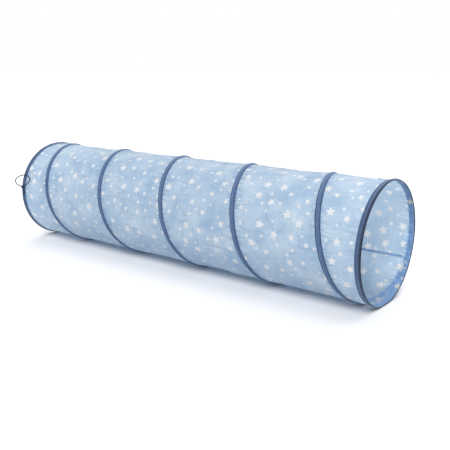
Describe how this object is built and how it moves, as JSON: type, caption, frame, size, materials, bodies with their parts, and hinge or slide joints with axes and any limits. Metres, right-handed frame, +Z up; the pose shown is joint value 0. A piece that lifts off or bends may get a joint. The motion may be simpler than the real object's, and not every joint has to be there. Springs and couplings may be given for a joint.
{
  "type": "agility tunnel",
  "caption": "Collapsible open-ended fabric tunnel held round by a coiled spring wire under sewn bias tape, with a cord loop to tie it when folded.",
  "frame": {"origin": "on the floor, under the middle of the tunnel's length", "axes": "+X along the bore from the far mouth to the near mouth, +Y towards the back wall, +Z up"},
  "size_m": [1.8432, 0.4679, 0.4572],
  "materials": {
    "spring_steel": "drawn spring wire, satin",
    "crimped_brass": "plain crimped brass",
    "navy_bias_tape": "woven polyester bias tape, matt",
    "printed_polyester": "thin light-blue polyester taffeta with a white star print",
    "navy_cord": "braided polyester cord, matt"
  },
  "bodies": {
    "far_end": {"far_hoop_wire": "spring_steel", "far_crimp_sleeve": "crimped_brass", "far_binding": "navy_bias_tape", "storage_loop_knot": "navy_cord", "storage_loop_cord": "navy_cord", "storage_loop_tail": "navy_cord"},
    "turn_1": {"coil_turn_1": "spring_steel", "coil_tape_1": "navy_bias_tape", "fabric_section_1": "printed_polyester"},
    "turn_2": {"coil_turn_2": "spring_steel", "coil_tape_2": "navy_bias_tape", "fabric_section_2": "printed_polyester"},
    "turn_3": {"coil_turn_3": "spring_steel", "coil_tape_3": "navy_bias_tape", "fabric_section_3": "printed_polyester"},
    "turn_4": {"coil_turn_4": "spring_steel", "coil_tape_4": "navy_bias_tape", "fabric_section_4": "printed_polyester"},
    "turn_5": {"coil_turn_5": "spring_steel", "coil_tape_5": "navy_bias_tape", "fabric_section_5": "printed_polyester"},
    "near_end": {"near_hoop_wire": "spring_steel", "near_crimp_sleeve": "crimped_brass", "near_binding": "navy_bias_tape"}
  },
  "joints": [
    {"name": "collapse", "type": "slide", "parent": "far_end", "child": "near_end", "axis": [-1, 0, 0], "range_m": [0, 1.725], "stiffness_N_per_m": 2, "springref_m": -0.5},
    {"name": "turn_1_travel", "type": "slide", "parent": "far_end", "child": "turn_1", "axis": [-1, 0, 0], "range_m": [0, 0.169], "deforming": ["coil_turn_1", "coil_tape_1", "fabric_section_1"]},
    {"name": "turn_2_travel", "type": "slide", "parent": "far_end", "child": "turn_2", "axis": [-1, 0, 0], "range_m": [0, 0.509], "deforming": ["coil_turn_2", "coil_tape_2", "fabric_section_2"]},
    {"name": "turn_3_travel", "type": "slide", "parent": "far_end", "child": "turn_3", "axis": [-1, 0, 0], "range_m": [0, 0.865], "deforming": ["coil_turn_3", "coil_tape_3", "fabric_section_3"]},
    {"name": "turn_4_travel", "type": "slide", "parent": "far_end", "child": "turn_4", "axis": [-1, 0, 0], "range_m": [0, 1.22], "deforming": ["coil_turn_4", "coil_tape_4", "fabric_section_4"]},
    {"name": "turn_5_travel", "type": "slide", "parent": "far_end", "child": "turn_5", "axis": [-1, 0, 0], "range_m": [0, 1.56], "deforming": ["coil_turn_5", "coil_tape_5", "fabric_section_5"]}
  ],
  "couplings": [
    {"joint": "turn_1_travel", "follows": "collapse", "ratio": 0.0968},
    {"joint": "turn_2_travel", "follows": "collapse", "ratio": 0.294},
    {"joint": "turn_3_travel", "follows": "collapse", "ratio": 0.5},
    {"joint": "turn_4_travel", "follows": "collapse", "ratio": 0.706},
    {"joint": "turn_5_travel", "follows": "collapse", "ratio": 0.9032}
  ]
}
